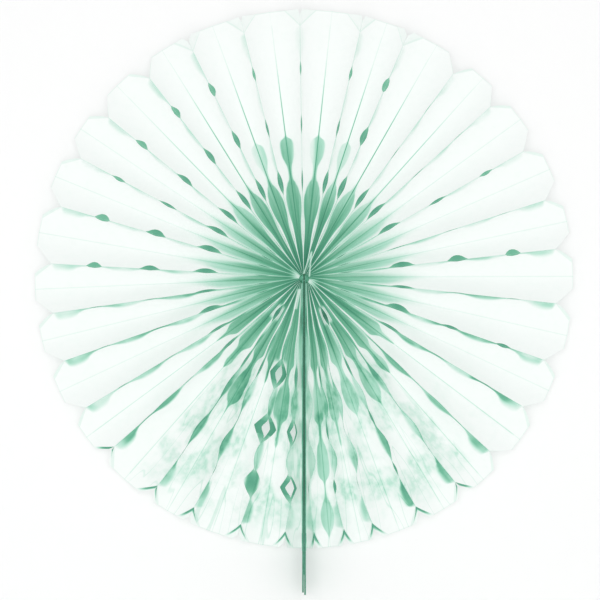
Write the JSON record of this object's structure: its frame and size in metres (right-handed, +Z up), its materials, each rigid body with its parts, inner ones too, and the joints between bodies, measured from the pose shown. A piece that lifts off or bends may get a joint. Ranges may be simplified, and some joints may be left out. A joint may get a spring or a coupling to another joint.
{
  "type": "paper fan rosette",
  "caption": "Round pleated tissue paper fan, opened into a rosette, with rows of punched diamonds, a scalloped rim and a card tail at the seam.",
  "frame": {"origin": "centre of the hub's flat back, on the wall plane the fan hangs against", "axes": "+Y into the wall, -Y toward the viewer, +Z up with the card tail pointing down, +X to the right seen from the front"},
  "size_m": [0.5378, 0.031, 0.5817],
  "materials": {
    "tissue": "pale mint tissue, matt and slightly translucent",
    "card": "dyed green board, cut edge",
    "tape": "double-sided tissue tape",
    "glue": "dried glue stained by the tissue"
  },
  "bodies": {
    "root": {"front_ply": "tissue", "back_ply": "tissue", "right_end_card": "card", "left_end_card": "card", "seam_tape": "tape", "hub_glue": "glue"}
  },
  "joints": []
}
